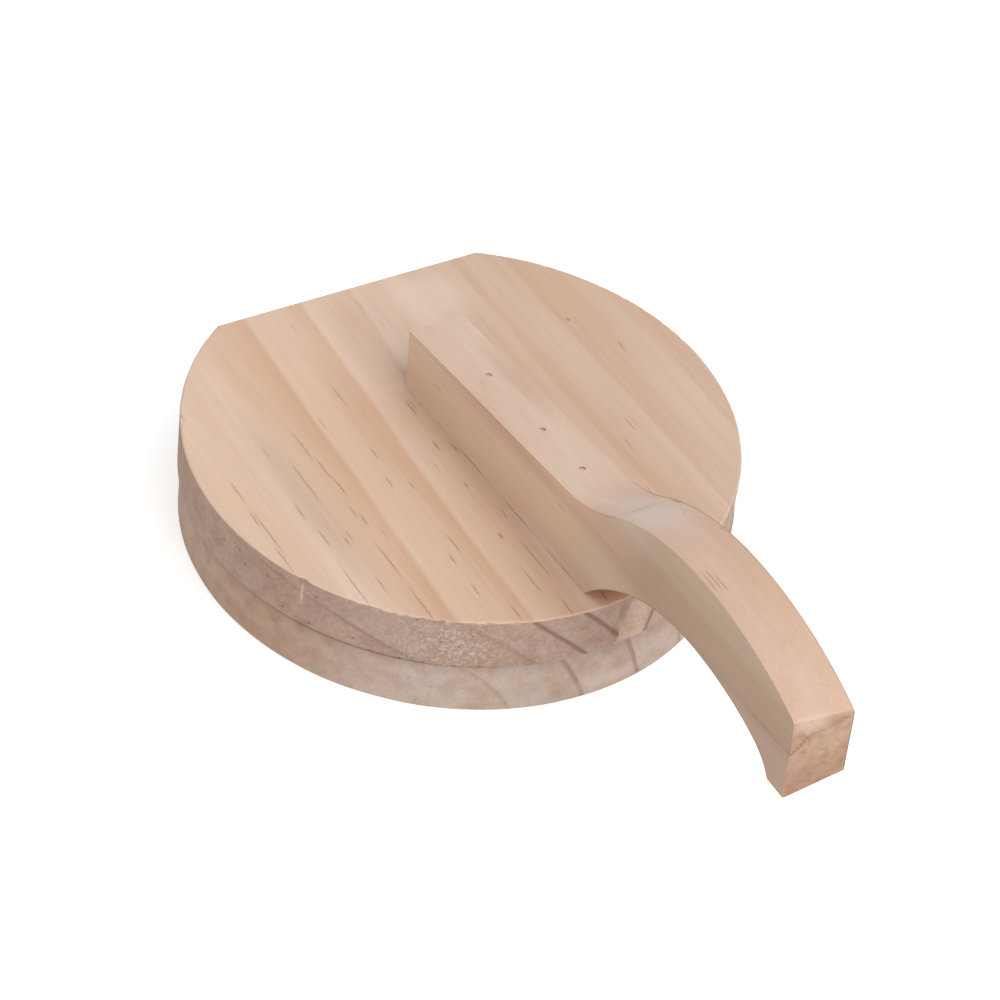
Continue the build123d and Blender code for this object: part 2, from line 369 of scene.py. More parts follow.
    # sawn faces drink the light: greyer and darker, mottled and with torn specks
    speck = addNode(tree, "TexNoise", {
        "Vector": grain, "Scale": 1 / wood["speckSize"], "Detail": 3, "Roughness": 0.6,
    }).outputs[0]
    blotch = addNode(tree, "TexNoise", {"Vector": grain, "Scale": 1 / wood["blotchSize"], "Detail": 3})
    stain = addNode(tree, "SeparateColor", {0: blotch.outputs["Color"]})
    sawnTint = linearColour(wood["sawnTint"])[:3]
    torn = addNode(tree, "VectorMath", {0: colour, 1: sawnTint}, operation="MULTIPLY").outputs[0]
    torn = wash(torn, wood["sawnWashes"])
    torn = shade(torn, speck, 1 - wood["speckShade"], 1 + wood["speckShade"])
    torn = shade(torn, blotch.outputs[0], 1 - wood["blotchShade"], 1 + wood["blotchShade"])
    for channel, tint in zip((1, 2), wood["stains"]):
        torn = paint(torn, stain.outputs[channel], *g["stainNoise"], 1, tint, "MULTIPLY")
    lined = addNode(tree, "Math", {0: line, 1: square["Y"]}, operation="MULTIPLY").outputs[0]
    torn = paint(torn, lined, 0, g["lineFull"], wood["lineShare"], wood["lineColour"])
    if wood["flecked"]:  # where the saw tore the fibres out: pale flecks and dark specks
        inside = addNode(tree, "MapRange", {
            "Value": nearMarks(tree, grain, [wood["flecked"]]), "From Min": 1.1, "From Max": 0.4,
        }).outputs[0]
        for start, end, tint in wood["flecks"]:
            torn = paint(torn, speck, start, end, inside, tint)
    surface = addNode(tree, "Mix", {0: sawn, 6: colour, 7: torn}, data_type="RGBA").outputs[2]

    # single pale, grey or darker places
    for mark, tint, share, kind in wood["patches"]:
        near = nearMarks(tree, grain, [mark])
        surface = paint(surface, near, *g["patchFade"], share, tint, kind, interpolation_type="SMOOTHSTEP")

    # resin canals: fine tubes along the grain, dashes on a planed face and dots on a sawn one
    spread = (1 / g["canalSpacing"], 1 / g["canalPitch"], 1 / g["canalSpacing"])
    cells = addNode(tree, "VectorMath", {0: grain, 1: spread}, operation="MULTIPLY").outputs[0]
    canal = addNode(tree, "TexVoronoi", {"Vector": cells, "Scale": 1, "Randomness": 1})
    offset = addNode(tree, "VectorMath", {0: cells, 1: canal.outputs["Position"]}, operation="SUBTRACT")
    thin = g["canalSpacing"] / g["canalWidth"]
    size = (thin, g["canalPitch"] / g["canalLength"], thin)
    sized = addNode(tree, "VectorMath", {0: offset.outputs[0], 1: size}, operation="MULTIPLY")
    nearest = addNode(tree, "VectorMath", {0: sized.outputs[0]}, operation="LENGTH").outputs["Value"]
    wobble = stretchedNoise(1.5, 2.5, 2, 3.0)
    shake = g["markShake"]
    shaken = addNode(tree, "MapRange", {
        "Vector": wobble.outputs["Color"], 9: (-shake, 0, -shake), 10: (shake, 0, shake),
    }, data_type="FLOAT_VECTOR")
    moved = addNode(tree, "VectorMath", {0: grain, 1: shaken.outputs["Vector"]}, operation="ADD").outputs[0]
    # listed streaks as well; on the handle, those where it meets the board are painted contact shadow with
    # glue
    if wood["streaks"]:
        marked = nearMarks(tree, moved, wood["streaks"])
        nearest = addNode(tree, "Math", {0: nearest, 1: marked}, operation="MINIMUM").outputs[0]
    surface = paint(surface, nearest, *g["markFade"], wood["streakShare"], wood["streakColour"])
    for marks, share, tint in wood["scars"]:  # pale where the fibres are bruised and one painted highlight, dark in pits and cracks
        surface = paint(surface, nearMarks(tree, moved, marks), *g["markFade"], share, tint)

    # relief: raised fibres on planed faces, torn ones on sawn faces
    relief = addNode(tree, "Mix", {0: sawn, 2: fibre, 3: speck}, data_type="FLOAT")
    depth = addNode(tree, "MapRange", {"Value": sawn, "To Min": g["planedRelief"], "To Max": 1.0})
    bump = addNode(tree, "Bump", {
        "Strength": depth.outputs[0], "Distance": wood["relief"] * metresPerMm, "Height": relief.outputs[0],
    })
    rough = addNode(tree, "MapRange", {"Value": sawn, "To Min": g["planedRough"], "To Max": g["sawnRough"]})
    finishMaterial(tree, Base_Color=surface, Roughness=rough.outputs[0], IOR=1.5, Normal=bump.outputs[0])
    return material


# Boards

boardLook = {
    "rimSteps": 720,  # points round the rim, under 0.8 mm apart
    "rowHeight": 1.0,
    "outerRound": 0.7,
    "seamRound": 0.15,
    "roundSteps": 3,
    "rimDepth": 1.5,  # mm in from the rim that the saw's marks reach
    "markSlope": 0.35,  # they run up the rim, so height changes them less than the way round does
    "bladeWander": 0.22,  # mm that the band saw strayed inwards
    "wanderLength": 14.0,
    "toothMarks": 0.05,
    "toothLength": 1.3,
    "tornEdge": 0.45,  # mm torn out of the upper edge where the saw left the wood
    "tornLength": 1.8,
    "tornDepth": 1.2,  # mm down from the edge
    "tornPlace": (-42, 26),  # degrees round from the front, and how wide
    "chip": 0.55,  # mm deep, one place in the upper edge
    "chipPlace": -62.5,
    "chipWidth": 1.4,
    "ragged": 1.0,  # mm that fibres are torn out of the rim
    "raggedLength": 1.1,
    "raggedPlace": (-32, 17),
    "touchFrom": -85,  # degrees: between these the boards touch at their edges, so the seam fades
    "touchTo": 65,
    "touchWidth": 25,
    "touch": 0.9,  # share of the gap that closes
    "lipHeight": 0.4,
    "lipReach": 87.28,  # mm from the middle, so that the lower board's lip doesn't stand out there
    "screwBore": 1.55,
    "nailBore": 0.95,
    "boreRoom": 0.05,
    "boreSteps": 20,
}


def hump(value, place, width):
    return exp(-((value - place) / width) ** 2)


def roughenRim(bm, middle, radius, flatY, seamZ, tornZ):
    look = boardLook
    for vert in bm.verts:
        away = vert.co - middle
        away.z = 0
        if away.length < radius - look["rimDepth"] or vert.co.y > flatY - 0.01:
            continue
        out = away.normalized()
        angle = degrees(atan2(out.x, -out.y))
        spot = out * radius + Vector((0, 0, vert.co.z * look["markSlope"]))
        wander = look["bladeWander"] * (0.5 + 0.5 * noise.noise(spot / look["wanderLength"]))
        teeth = look["toothMarks"] * (0.5 + 0.5 * noise.noise(spot / look["toothLength"]))
        back = wander + teeth
        if tornZ is not None:
            fibre = out * radius + Vector((0, 0, vert.co.z))
            rag = max(0, noise.noise(fibre / look["raggedLength"]) - 0.05)
            back += look["ragged"] * rag * hump(angle, *look["raggedPlace"])
            if vert.co.z > tornZ - look["tornDepth"]:
                torn = max(0, noise.noise(spot / look["tornLength"] + Vector((3, 0, 0))) + 0.1)
                chip = look["chip"] * hump(radians(angle - look["chipPlace"]) * radius, 0, look["chipWidth"])
                back += look["tornEdge"] * torn * (0.25 + hump(angle, *look["tornPlace"])) + chip
                if vert.co.z < tornZ - 0.01:
                    vert.co.z -= 0.5 * torn * look["tornEdge"]
        vert.co -= out * back
        if abs(vert.co.z - seamZ) < look["lipHeight"]:
            inside = min(angle - look["touchFrom"], look["touchTo"] - angle)
            touch = min(1, max(0, inside / look["touchWidth"]))
            vert.co.z += (seamZ - vert.co.z) * look["touch"] * touch
            if tornZ is None:
                vert.co.xy *= 1 + (min(1, look["lipReach"] / vert.co.xy.length) - 1) * touch


def makeBoard(node, name, material, bottomRound, topRound, isNailed):
    look = boardLook
    low, high = boxOf(node)
    radius = (high.x - low.x) / 2
    middle = Vector(((low.x + high.x) / 2, low.y + radius, low.z))
    bm = bmesh.new()
    bmesh.ops.create_circle(
        bm, cap_ends=True, radius=radius, segments=look["rimSteps"], matrix=Matrix.Translation(middle)
    )
    sliceAt(bm, (0, high.y, 0), (0, 1, 0), clear_outer=True)
    lifted = only(BMVert, bmesh.ops.extrude_face_region(bm, geom=bm.faces[:])["geom"])
    bmesh.ops.translate(bm, verts=lifted, vec=(0, 0, high.z - low.z))
    bmesh.ops.recalc_face_normals(bm, faces=bm.faces)
    for level, size in ((low.z, bottomRound), (high.z, topRound)):
        loop = [e for e in bm.edges if all(abs(v.co.z - level) < 1e-4 for v in e.verts)]
        roundOver(bm, loop, size, look["roundSteps"])

    # bores for the hinge screws
    bm.faces.ensure_lookup_table()
    back = max((f for f in bm.faces if f.normal.y > 0.999), key=lambda f: f.calc_area())
    bores = []
    depth = 0
    for i in range(3):
        screwLow, screwHigh = boxOf(f"hinge_screw_{node.split('_')[0]}_{i + 1}")
        centre = (screwLow + screwHigh) / 2
        centre.y = high.y
        bores.append(Matrix.Translation(centre) @ Matrix.Rotation(radians(90), 4, "X"))
        depth = high.y - screwLow.y + look["boreRoom"]
    for ring in cutMouths(bm, back, bores, look["screwBore"], look["boreSteps"]):
        end = sinkRing(bm, ring, (0, -depth, 0))
        bmesh.ops.contextual_create(bm, geom=edgeRing(end))

    # bores for the handle's nails
    if isNailed:
        top = max((f for f in bm.faces if f.normal.z > 0.999), key=lambda f: f.calc_area())
        nailBoxes = [boxOf(nail) for nail in nails]
        mouths = []
        for nailLow, nailHigh in nailBoxes:
            centre = (nailLow + nailHigh) / 2
            mouths.append(Matrix.Translation((centre.x, centre.y, high.z)))
        rings = cutMouths(bm, top, mouths, look["nailBore"], look["boreSteps"])
        for ring, (nailLow, nailHigh) in zip(rings, nailBoxes):
            end = sinkRing(bm, ring, (0, 0, nailLow.z - look["boreRoom"] - high.z))
            bmesh.ops.contextual_create(bm, geom=edgeRing(end))

    # rows up the rim, then the saw's marks
    rows = int((high.z - low.z) / look["rowHeight"])
    for row in range(1, rows):
        level = low.z + (high.z - low.z) * row / rows
        rim = [f for f in bm.faces if abs(f.normal.z) < 0.01 and f.normal.y < 0.999
               and (f.calc_center_median() - middle).xy.length > radius - 1]
        sliceAt(bm, (0, 0, level), (0, 0, 1), rim)
    seamZ = low.z - 0.1 if isNailed else high.z + 0.1
    roughenRim(bm, middle, radius, high.y, seamZ, high.z if isNailed else None)
    return finishPiece(bm, name, node, material, 35)


# Handle

handleLook = {
    "shiftX": 3.1,
    "yaw": 1.3,  # degrees
    "width": 19.2,
    # the side view: mm out along the grip, and up from the board
    "heelFoot": (-23.4, 0),
    "heelTop": (-24.9, 21.5),
    "saddleEnd": (63.9, 28.5),
    "riseEnd": (84.9, 35.8),
    "backEnd": (125.3, 48.6),
    "noseTop": (183.0, 33.0),
    "noseFoot": (183.0, 8.1),
    "footEnd": (79.7, 0),
    "archSlope": 52,  # degrees
    "archEnd": (133.3, 23.8),
    "palmEnd": (162.5, 16.7),
    "beakEnd": (171.7, 8.7),
    "arcStep": 2.2,  # mm between the points of a curve
    "endPlace": (179.66, 0, 20.85),  # a point of the sawn end
    "endSkew": 6,  # degrees
    "endRake": 3.2,
    "pared": 4.2,  # taken off the nose on the +X side
    "paredFrom": 162.5,
    "edgeRound": 0.7,
    "roundSteps": 3,
    "endRound": 0.35,
    "footRound": 0.3,  # the lower edges, where the handle meets the board
    "endCuts": (6, 0.45),  # how many cross cuts near the end, and the mm between them
    "endAcross": (11, 0.8),
    "endLevels": (17, 0.7),
    "endLowest": 59.85,
    "tipDepth": 4,  # mm back from the end
    "endTopRound": 1.3,
    "endSideRound": 0.5,
    "wornFrom": [  # the end is worn back above this line: mm across from the left side, and height
        (0, 60.6), (1.7, 61.8), (3.6, 63.8), (5, 66.3), (12, 66.7), (15, 68.3), (19.2, 70),
    ],
    "wornBack": 0.35,
    "wornOver": 2.5,
    "wornDepth": 1.5,
    "splitDepth": 0.3,  # an open ring along the left side and into the end
    "splitHeight": 60.2,
    "splitFrom": 158.0,
    "splitFade": 4,
    "splitCut": 0.4,
    "splitWidth": 0.45,
    "splitTo": 7,  # mm across the end where it has closed, over the last 3
    "splitClosing": 3,
    "mouthRadius": 1.0,  # the wood has closed a little over each punched nail head
    "mouthTear": 0.25,
    "pocketRadius": 1.25,
    "boreRadius": 0.95,
    "boreSteps": 20,
    "nailHead": 0.9,
    "curveStart": 64.5,  # from here on the handle is curved
    "curveLength": 115,
    "cutSpacing": 1.6,  # mm between the cross cuts that let the surface wave
    "cutAcross": 2.6,
    "cutLevel": 4,
    "leastSanded": 0.02,
    "handWave": 0.25,  # mm that hand sanding took off here and there
    "waveLength": 16.0,
    "waveFade": 12,
    "crease": 88.0,  # where two passes of the sander met across the hollow
    "creaseSlant": 0.35,
    "creaseWidth": 2.6,
    "creaseDepth": 0.3,
}


def drawLine(bm, start, end):
    made = bmesh.ops.extrude_vert_indiv(bm, verts=[start])["verts"][0]
    made.co = end
    return made


def drawArc(bm, start, heading, end, step):  # leaves along heading, reaches end, and gives the new heading
    chord = end - start.co
    axis = heading.cross(chord).normalized()
    side = axis.cross(heading)
    radius = chord.length_squared / (2 * chord.dot(side))
    angle = 2 * atan2(chord.dot(side), chord.dot(heading))
    steps = max(3, round(radius * angle / step))
    made = bmesh.ops.spin(
        bm, geom=[start], cent=start.co + side * radius, axis=axis, angle=angle, steps=steps, dvec=(0, 0, 0)
    )
    last = only(BMVert, made["geom_last"])[0]
    return last, Matrix.Rotation(angle, 3, axis) @ heading


def roundCorner(verts, spot, first, second, radius):  # rounds the edge where two planes meet at spot
    centre = spot - (first + second) * (radius / (1 + first.dot(second)))
    edge = first.cross(second).normalized()
    for vert in verts:
        away = vert.co - centre
        away -= edge * away.dot(edge)
        past = min(away.dot(first - second * first.dot(second)), away.dot(second - first * first.dot(second)))
        if past > 0 and away.length > radius:
            vert.co -= away * (1 - radius / away.length)


def widen(verts, centre, share):  # out from an upright line through centre, or in towards it
    for vert in verts:
        vert.co.xy = centre.xy + (vert.co.xy - centre.xy) * share


def cutFaces(bm, faces, spots, normal):
    for spot in spots:
        faces = [f for f in faces if f.is_valid]
        faces = list(set(faces + only(BMFace, sliceAt(bm, spot, normal, faces)["geom"])))
    return faces


def makeHandle(material):
    look = handleLook
    low, high = boxOf("handle")
    step = look["arcStep"]
    half = look["width"] / 2
    turn = Matrix.Translation((look["shiftX"], 0, low.z)) @ Matrix.Rotation(radians(look["yaw"] - 90), 4, "Z")
    bm = bmesh.new()

    def spot(name):
        reach, height = look[name]
        return Vector((reach, -half, height))

    # the side view
    heel = bm.verts.new(spot("heelFoot"))
    top = drawLine(bm, heel, spot("heelTop"))
    saddle = drawLine(bm, top, spot("saddleEnd"))
    heading = (saddle.co - top.co).normalized()
    rise, heading = drawArc(bm, saddle, heading, spot("riseEnd"), step)
    back, heading = drawArc(bm, rise, heading, spot("backEnd"), step)
    brow, heading = drawArc(bm, back, heading, spot("noseTop"), step)
    nose = drawLine(bm, brow, spot("noseFoot"))
    foot = drawLine(bm, heel, spot("footEnd"))
    slope = radians(look["archSlope"])
    arch, heading = drawArc(bm, foot, Vector((cos(slope), 0, sin(slope))), spot("archEnd"), step)
    palm, heading = drawArc(bm, arch, heading, spot("palmEnd"), step)
    beak, heading = drawArc(bm, palm, heading, spot("beakEnd"), step)
    bm.edges.new((beak, nose))
    side = bmesh.ops.contextual_create(bm, geom=bm.edges[:])["faces"]
    moved = only(BMVert, bmesh.ops.extrude_face_region(bm, geom=side)["geom"])
    bmesh.ops.translate(bm, verts=moved, vec=(0, look["width"], 0))

    # the end sawn a little out of square, and the nose pared away towards +X
    rake = Vector((1, -tan(radians(look["endSkew"])), tan(radians(look["endRake"]))))
    cut = sliceAt(bm, look["endPlace"], rake, clear_outer=True)["geom_cut"]
    bmesh.ops.contextual_create(bm, geom=only(BMEdge, cut))
    sliceAt(bm, (look["paredFrom"], 0, 0), (1, 0, 0))
    tip = [f for f in bm.faces if f.calc_center_median().x > look["paredFrom"]]
    pared = Vector((0, look["pared"], -look["width"]))
    cut = sliceAt(bm, spot("noseFoot"), pared, tip, clear_outer=True)["geom_cut"]
    bmesh.ops.contextual_create(bm, geom=only(BMEdge, cut))
    bmesh.ops.recalc_face_normals(bm, faces=bm.faces)
    for isFoot, size, steps in ((False, look["edgeRound"], look["roundSteps"]), (True, look["footRound"], 2)):
        sides = {f for f in bm.faces if abs(f.normal.y) > 0.999}
        outline = [e for e in bm.edges if len(sides.intersection(e.link_faces)) == 1]
        roundOver(bm, [e for e in outline if (max(v.co.z for v in e.verts) < 0.03) == isFoot], size, steps)
    end = max((f for f in bm.faces if f.normal.x > 0.9), key=lambda f: f.calc_area())
    roundOver(bm, end.edges[:], look["endRound"], 2)

    # the punched nails: a pocket for each head and a bore for its shank
    bmesh.ops.transform(bm, matrix=turn, verts=bm.verts)
    bm.normal_update()
    nailBoxes = [boxOf(nail) for nail in nails]
    mouths = [Matrix.Translation((nailLow + nailHigh) / 2) for nailLow, nailHigh in nailBoxes]
    saddleFace = max((f for f in bm.faces if f.normal.z > 0.99), key=lambda f: f.calc_area())
    pockets = cutMouths(bm, saddleFace, mouths, look["mouthRadius"], look["boreSteps"])
    under = max((f for f in bm.faces if f.normal.z < -0.999), key=lambda f: f.calc_area())
    bores = cutMouths(bm, under, mouths, look["boreRadius"], look["boreSteps"])
    for pocket, bore, (nailLow, nailHigh) in zip(pockets, bores, nailBoxes):
        centre = (nailLow + nailHigh) / 2
        seat = sinkRing(bm, pocket, (0, 0, -1))
        for vert in seat:
            vert.co.z = nailHigh.z - look["nailHead"]
        widen(seat, centre, look["pocketRadius"] / look["mouthRadius"])
        neck = sinkRing(bm, seat, (0, 0, 0))
        widen(neck, centre, look["boreRadius"] / look["pocketRadius"])
        bmesh.ops.bridge_loops(bm, edges=edgeRing(neck) + edgeRing(bore))
        for vert in pocket:  # torn a little by the punch
            widen([vert], centre, 1 + look["mouthTear"] * noise.noise(vert.co * 1.3))

    # cross cuts where the wood is curved, so that its surface can wave as sanding by hand leaves it
    grip = turn.to_3x3() @ Vector((1, 0, 0))
    across = turn.to_3x3() @ Vector((0, 1, 0))
    origin = turn.translation
    up = Vector((0, 0, 1))

    def reachOf(face):
        return (face.calc_center_median() - origin).dot(grip)

    for i in range(int(look["curveLength"] / look["cutSpacing"])):
        sliceAt(bm, origin + grip * (look["curveStart"] + look["cutSpacing"] * i), grip)
    cuts = [(origin + across * aside * look["cutAcross"], across) for aside in range(-3, 4)]
    cuts += [(origin + up * level * look["cutLevel"], up) for level in range(1, 12)]
    for place, normal in cuts:
        sliceAt(bm, place, normal, [f for f in bm.faces if reachOf(f) > look["curveStart"]])
    # closer cuts at the end and along the open ring
    endOut = (turn.to_3x3() @ rake).normalized()
    endSpot = turn @ Vector(look["endPlace"])
    count, spacing = look["endCuts"]
    for back in range(1, count + 1):
        sliceAt(bm, endSpot - endOut * spacing * back, endOut)
    bm.normal_update()
    endFaces = [
        f for f in bm.faces
        if f.normal.dot(endOut) > 0.98 and abs((f.calc_center_median() - endSpot).dot(endOut)) < 0.1
    ]
    count, spacing = look["endAcross"]
    spots = [origin + across * spacing * aside for aside in range(-count, count + 1)]
    endFaces = cutFaces(bm, endFaces, spots, across)
    count, spacing = look["endLevels"]
    cutFaces(bm, endFaces, [up * (look["endLowest"] + spacing * level) for level in range(count)], up)
    leftSide = [f for f in bm.faces if f.normal.dot(across) < -0.9 and reachOf(f) > look["splitFrom"] - 2]
    splitZ = look["splitHeight"]
    shifts = (-look["splitCut"], 0, look["splitCut"])
    cutFaces(bm, leftSide, [up * (splitZ + shift) for shift in shifts], up)
    bmesh.ops.recalc_face_normals(bm, faces=bm.faces)
    bm.normal_update()
    moves = {}
    for vert in bm.verts:
        reach = (vert.co - origin).dot(grip)
        if reach > look["curveStart"] and vert.co.z > low.z + 0.1:
            fade = min(1, (reach - look["curveStart"]) / look["waveFade"])
            wave = look["handWave"] * (0.5 + 0.5 * noise.noise(vert.co / look["waveLength"]))
            aside = (vert.co - origin).dot(across)
            past = (reach - look["crease"] - aside * look["creaseSlant"]) / look["creaseWidth"]
            wave += look["creaseDepth"] * exp(-past ** 2) * (vert.normal.z > 0.5)
            onLeft = vert.normal.dot(across) < -0.6 and abs(vert.co.z - splitZ) < 0.02
            opened = min(1, max(0, (reach - look["splitFrom"]) / look["splitFade"]))
            wave += look["splitDepth"] * onLeft * opened
            moves[vert] = vert.normal * (look["leastSanded"] + wave) * fade
    for vert, move in moves.items():
        vert.co -= move

    # the end, worn round above the open ring
    tip = [v for v in bm.verts if (endSpot - v.co).dot(endOut) < look["tipDepth"]]
    tops = [
        f for f in bm.faces
        if f.normal.z > 0.7 and (endSpot - f.calc_center_median()).dot(endOut) < look["tipDepth"]
    ]
    topOut = max(tops, key=lambda f: f.calc_area()).normal.copy()
    topSpot = max(tip, key=lambda v: v.co.dot(endOut + topOut)).co.copy()
    leftSpot = origin - across * half
    leftSpot += grip * ((endSpot - leftSpot).dot(endOut) / grip.dot(endOut))
    line = look["wornFrom"]
    for vert in tip:
        aside = (vert.co - origin).dot(across) + half
        near = max(i for i in range(len(line) - 1) if line[i][0] <= max(0, aside))
        (t1, z1), (t2, z2) = line[near:near + 2]
        over = vert.co.z - (z1 + (z2 - z1) * (aside - t1) / (t2 - t1))
        skin = max(0, 1 - (endSpot - vert.co).dot(endOut) / look["wornDepth"])
        back = look["wornBack"] * (1 - exp(-max(0, over) / look["wornOver"]))
        opened = min(1, max(0, look["splitTo"] - aside) / look["splitClosing"])
        back += look["splitDepth"] * hump(over, 0, look["splitWidth"]) * opened
        vert.co -= endOut * back * skin
    roundCorner(tip, topSpot - endOut * look["wornBack"], endOut, topOut, look["endTopRound"])
    roundCorner(tip, leftSpot, endOut, -across, look["endSideRound"])
    return finishPiece(bm, "handle_wood", "handle", material, 35)


# Woods of the three pieces, with the rings where the photographed ones lie: the radius in mm at which each
# ends, how dark it is there, and how strong a line it draws on end grain

def pit(x, y, z, across, up):  # a mark with hardly any length along the grain
    return x, y - 0.2, y + 0.2, z, across, up


lowerWood = {
    "staves": [
        {"pith": (-77, -23), "yaw": 1.0, "reach": (0, 190), "rings": [
            (33, 0.4, 0), (52.5, 0.7, 0.35), (74, 0.9, 0.85), (94, 0.9, 0.85), (113, 0.8, 0.7),
            (135, 0.8, 0.7), (158, 0.8, 0.7),
        ]},
    ],
    "pale": "#c6ad9b",
    "dark": "#ba9980",
    "tone": "#f6ebdc",
    "toneShare": 0.6,
    "washes": [("X", -62, -80, "#f2e3d5")],
    # the seam tint on sawn faces is painted shade
    "sawnWashes": [("Z", 13.5, 17.6, "#ebeaeb"), ("seam", 1.0, 0.3, "#d2c8c0")],
    "seam": (-75.0, -120.0, 30.0, 18.1, 70.0, 0.7),  # painted shade in the seam, on the left
    "roundSawn": True,
    "greyEdge": 86.4,  # mm from the middle
    "middle": (0.5, -0.7, 0),
    "sides": None,
    "sawnTint": "#e0e7f2",
    "speckSize": 0.9,
    "speckShade": 0.07,
    "blotchSize": 6.0,
    "blotchShade": 0.04,
    "stains": ["#f4f1e6", "#f5eeec"],  # mottling to olive and to pink
    "lineShare": 0.85,
    "lineColour": "#86695a",
    "patches": [((2.0, -86.0, -88.0, 4.5, 14.0, 5.0), "#d8ccc4", 0.35, "MIX")],
    "relief": 0.25,
    "streaks": [],
    "streakShare": 0.6,
    "streakColour": "#86644c",
    "flecked": None,
    "flecks": [(0.5, 0.64, "#b09a8a"), (0.46, 0.36, "#937f70")],  # noise from where to where, and the colour
    "scars": [([pit(-55.3, -67.8, 10.8, 0.7, 0.5), pit(-49.8, -72.0, 8.9, 0.8, 0.5)], 0.5, "#7c6152")],
}

upperWood = dict(
    lowerWood,
    staves=[
        {"pith": (-119, -85), "yaw": -2.2, "reach": (90, 190), "rings": [
            (97, 0.5, 0), (123.5, 0.6, 0.6), (131.5, 0.3, 0), (143.6, 0.95, 0.3), (155.3, 0.88, 0.9),
            (166.2, 0.6, 1.0), (178, 0.6, 0.6),
        ]},
        {"pith": (112, -6), "yaw": 1.0, "reach": (30, 118), "rings": [
            (40, 0.3, 0.6), (53.8, 0.4, 0.6), (70.1, 0.4, 0.6), (85.1, 0.5, 0.7), (101, 0.4, 0.8),
        ]},
    ],
    glueLine=-0.47,  # mm along X at the table's height
    glueLean=0.263,
    washes=[("X", 13, 22, "#f1efed")],
    sawnWashes=[
        # the seam tint is painted shade in the seam
        ("glue", -0.27, -0.77, "#eceaec"), ("X", -60, -72, "#f9f6f3"), ("seam", 1.0, 0.3, "#d2c8c0"),
    ],
    greyEdge=0,
    sawnTint="#e1e0e3",
    speckSize=1.1,
    speckShade=0.13,
    blotchShade=0.06,
    lineShare=1.0,
    lineColour="#7a5f52",
    patches=[
        ((20.0, 78.0, 40.0, 36.2, 18.0, 4.0), "#cebdaf", 0.45, "MIX"),
        ((1.5, -79.0, -86.0, 36.2, 7.0, 1.0), "#f9eadd", 1.0, "MULTIPLY"),  # painted warm shade on the board under the arch
        ((-7.0, -84.0, -88.0, 27.0, 11.0, 12.0), "#f8f7f5", 1.0, "MULTIPLY"),
        ((3.4, -86.0, -88.0, 24.0, 2.2, 7.0), "#e8e3d8", 1.0, "MULTIPLY"),  # along the glue line
        ((5.4, -86.0, -88.0, 31.5, 2.2, 6.0), "#e8e3d8", 1.0, "MULTIPLY"),
        ((-60.5, 45.0, -65.0, 36.2, 7.5, 4.0), "#f1efea", 1.0, "MULTIPLY"),
        ((0.0, 78.0, 30.0, 36.2, 24.0, 4.0), "#f4f3f2", 1.0, "MULTIPLY"),
    ],
    streaks=[(x, y1, y2, 36.2, width, 2.5) for x, y1, y2, width in (
        (-28.5, 33.5, 22.7, 0.3), (-31.5, 2.7, -3.0, 0.3), (-50.0, 18.5, 4.0, 0.25), (-49.0, 5.0, -6.0, 0.35),
        (-48.3, -4.0, -14.0, 0.3), (-57.0, 6.8, -13.0, 0.3), (-48.8, -22.3, -27.7, 0.35),
        (-64.7, -10.7, -17.3, 0.3), (-63.5, -22.7, -32.0, 0.3), (-58.0, -28.7, -33.7, 0.3),
        (-56.2, -27.7, -31.5, 0.25), (-77.7, 6.0, -4.0, 0.3), (-77.6, -8.0, -29.0, 0.25),
        (-78.6, -8.0, -15.0, 0.3), (-78.7, -24.0, -37.0, 0.3), (-50.6, -35.7, -52.0, 0.3),
        (-50.8, -54.0, -74.0, 0.3), (-65.0, -39.0, -59.0, 0.25), (-57.7, -48.0, -56.0, 0.25),
        (-29.3, -40.7, -50.0, 0.3), (-33.0, -49.0, -53.0, 0.3), (-33.4, -62.0, -68.0, 0.3),
        (-33.7, -11.0, -16.0, 0.3), (-28.2, -16.5, -19.0, 0.25), (-10.6, 16.8, 10.0, 0.35),
        (-12.2, -2.7, -7.3, 0.4), (-7.5, -6.0, -10.7, 0.35), (-12.9, -23.0, -25.7, 0.35),
        (-8.7, -38.0, -42.0, 0.3), (-14.7, -47.0, -49.5, 0.4), (-10.2, -52.0, -70.0, 0.3),
        (-16.0, -62.0, -75.0, 0.3), (-27.2, -75.0, -81.5, 0.3), (-12.2, -79.0, -86.5, 0.3),
        (0.3, -81.3, -85.3, 0.4), (66.5, 15.0, 10.0, 0.4), (48.7, -17.3, -24.0, 0.25),
    )] + [
        (57.6, 31.6, 30.4, 36.2, 0.7, 1.0),  # a pin knot
        pit(4.3, -87.2, 31.3, 0.4, 2.4),  # a split beside the glue line
    ],
    flecked=(-44.0, -60.0, -86.0, 26.5, 23.0, 13.0),
    scars=[
        ([pit(-77.6, -40.2, 30.4, 0.45, 4.6)], 0.3, "#e8cdae"),  # below the chip in the upper edge
        ([
            pit(-82.7, -28.3, 29.3, 0.8, 0.7), pit(-85.3, -19.2, 26.8, 0.8, 0.55),
            pit(-85.8, -16.4, 30.8, 0.7, 0.5), pit(-87.0, -8.8, 28.8, 0.7, 0.5),
            pit(-76.1, -43.0, 20.2, 0.8, 0.65), pit(-80.3, -34.5, 21.2, 0.7, 0.5),
            pit(-75.2, -44.6, 31.9, 0.9, 0.5), pit(-67.8, -55.2, 21.4, 0.6, 0.45),
            pit(-54.7, -68.2, 35.1, 0.7, 0.5), pit(-48.7, -72.7, 27.4, 0.8, 0.6),
            pit(-43.8, -75.5, 26.3, 0.6, 0.6), pit(-40.6, -77.2, 30.6, 0.6, 0.4),
        ], 0.75, "#6a5244"),
    ],
)

